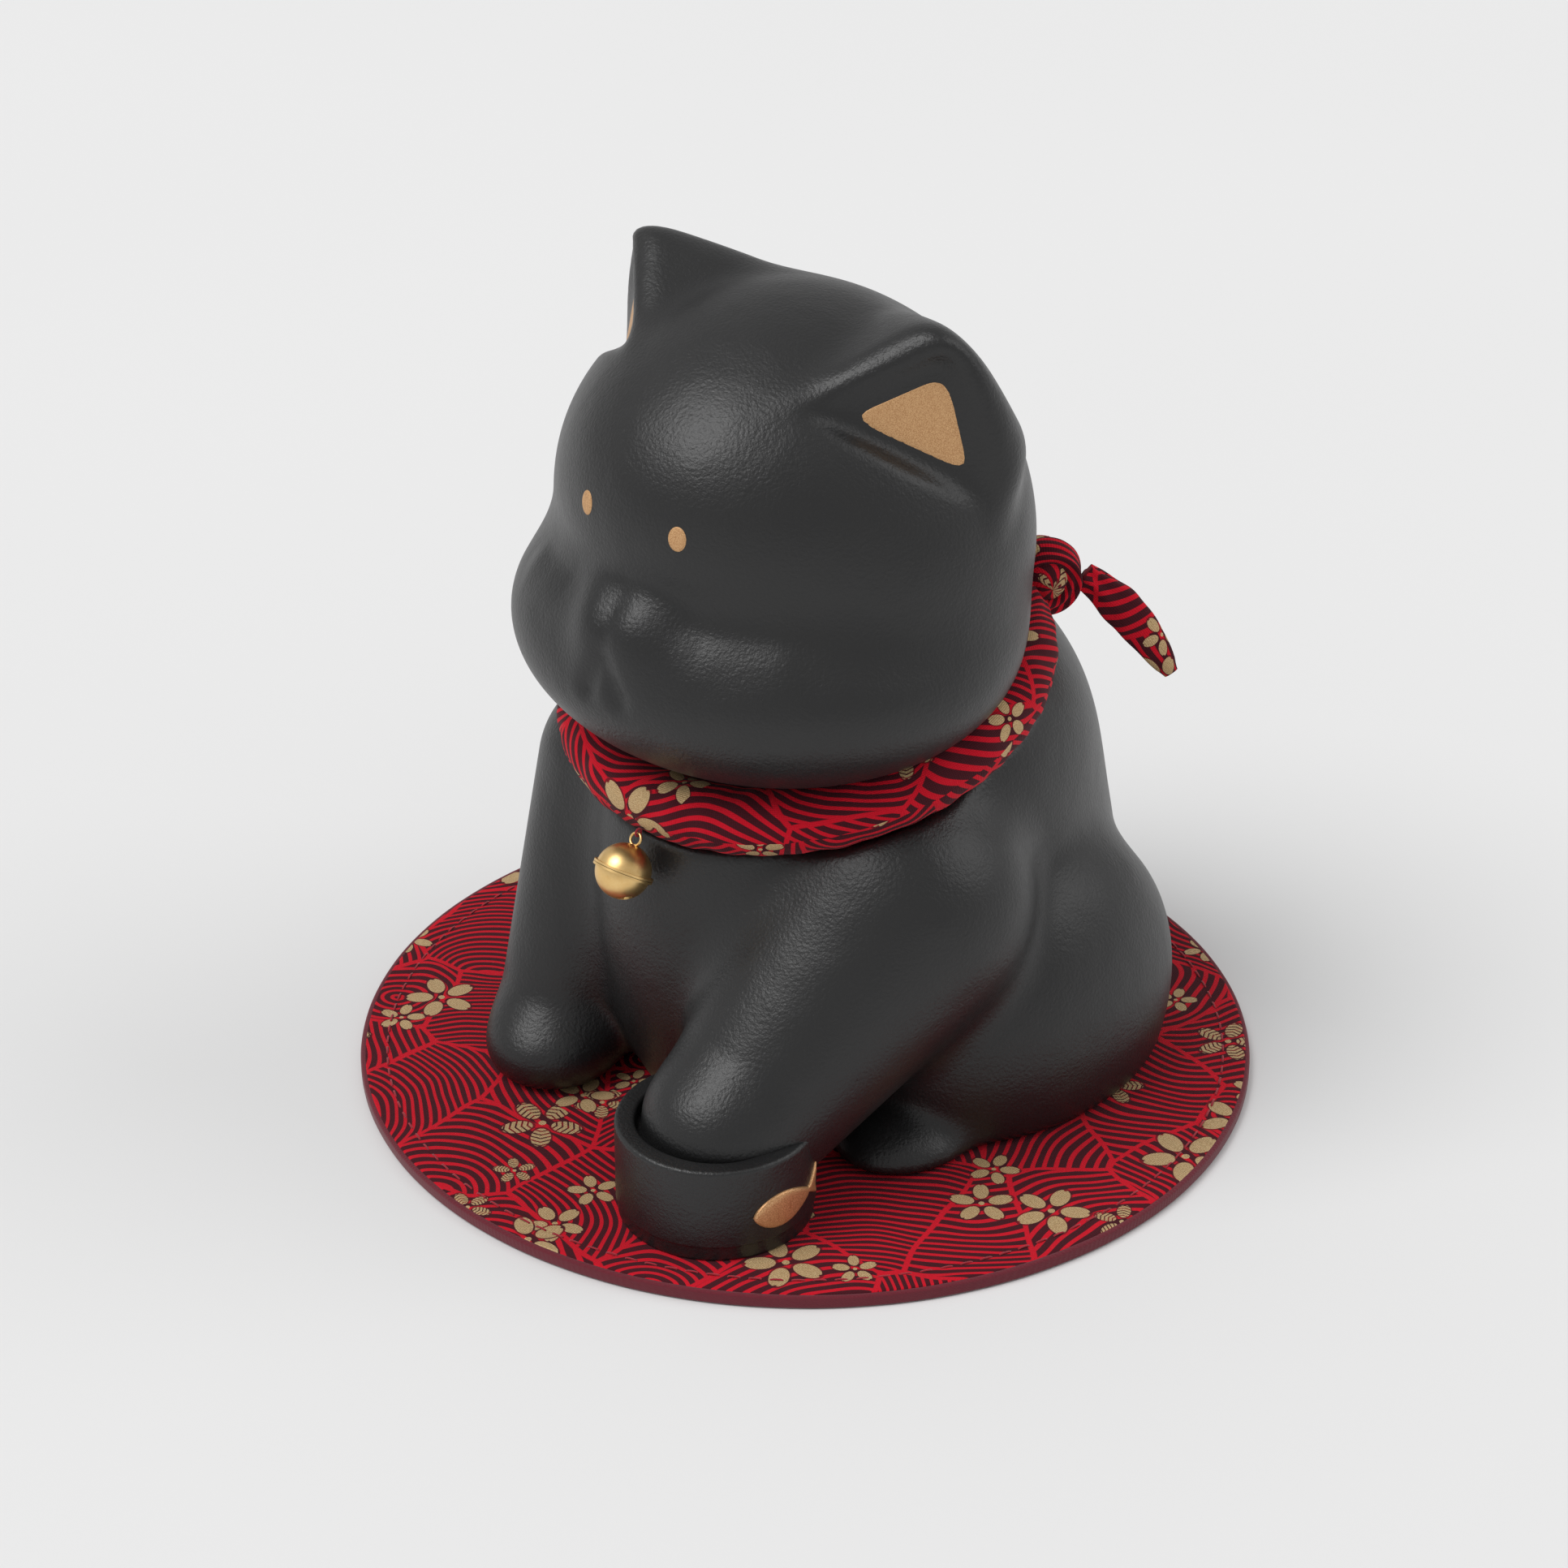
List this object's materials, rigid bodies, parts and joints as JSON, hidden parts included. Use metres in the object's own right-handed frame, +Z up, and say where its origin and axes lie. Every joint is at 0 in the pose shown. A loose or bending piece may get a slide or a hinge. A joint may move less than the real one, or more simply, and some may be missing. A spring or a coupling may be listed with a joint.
{
  "type": "cat keepsake figurine",
  "caption": "Seated chubby black ceramic cat with one fore paw in an open tin can, a knotted cloth collar with a jingle bell, on a round printed mat.",
  "frame": {"origin": "centre of the mat's underside", "axes": "+Z up, the cat faces -Y, its left side is +X"},
  "size_m": [0.2, 0.2, 0.1908],
  "materials": {
    "black_ceramic": "matte black ceramic with a fine leathery texture and a soft satin highlight",
    "gold_paint": "matte pale gold paint",
    "copper_gold_paint": "satin copper-gold paint on a raised relief",
    "printed_cloth": "maroon cotton printed with crimson wave lines and pale gold blossoms",
    "collar_cloth": "the same printed cotton, wrapped as a padded tube",
    "plain_cloth": "plain dark maroon cotton",
    "wadding": "white polyester wadding",
    "thread": "red sewing thread",
    "satin_brass": "satin gold-plated brass",
    "steel": "bare steel pellet",
    "stopper_rubber": "matte dark silicone rubber"
  },
  "bodies": {
    "mat": {"mat_backing": "plain_cloth", "mat_core": "wadding", "mat_top_cloth": "printed_cloth", "mat_edge_binding": "plain_cloth", "mat_topstitch": "thread"},
    "cat": {"cat_shell": "black_ceramic", "tin_can": "black_ceramic", "fish_relief": "copper_gold_paint", "eye_left": "gold_paint", "eye_right": "gold_paint", "ear_gilding_left": "gold_paint", "ear_gilding_right": "gold_paint", "collar_cover": "collar_cloth", "collar_wadding": "wadding", "collar_knot": "collar_cloth", "collar_tail_left": "collar_cloth", "collar_tail_right": "collar_cloth"},
    "stopper": {"base_stopper": "stopper_rubber"},
    "thread": {"bell_thread": "thread"},
    "bell": {"bell_loop": "satin_brass", "bell_upper_shell": "satin_brass", "bell_lower_shell": "satin_brass"},
    "pellet": {"bell_pellet": "steel"}
  },
  "joints": [
    {"name": "cat_lift", "type": "slide", "parent": "mat", "child": "cat", "axis": [0, 0, 1], "range_m": [0, 0.1]},
    {"name": "stopper_draw", "type": "slide", "parent": "cat", "child": "stopper", "axis": [0, 0, -1], "range_m": [0, 0.04]},
    {"name": "thread_swing", "type": "hinge", "parent": "cat", "child": "thread", "pos_m": [0, -0.05223, 0.07897], "axis": [-1, 0, 0], "range_deg": [0, 60]},
    {"name": "bell_sway", "type": "hinge", "parent": "thread", "child": "bell", "pos_m": [0, -0.0531, 0.07762], "axis": [0, -0.8387, 0.5446], "range_deg": [-40, 40]},
    {"name": "pellet_rattle", "type": "slide", "parent": "bell", "child": "pellet", "axis": [0, 0.5446, 0.8387], "range_m": [0, 0.006]}
  ],
  "couplings": [
    {"joint": "stopper_draw", "follows": "cat_lift", "ratio": 0.4}
  ]
}
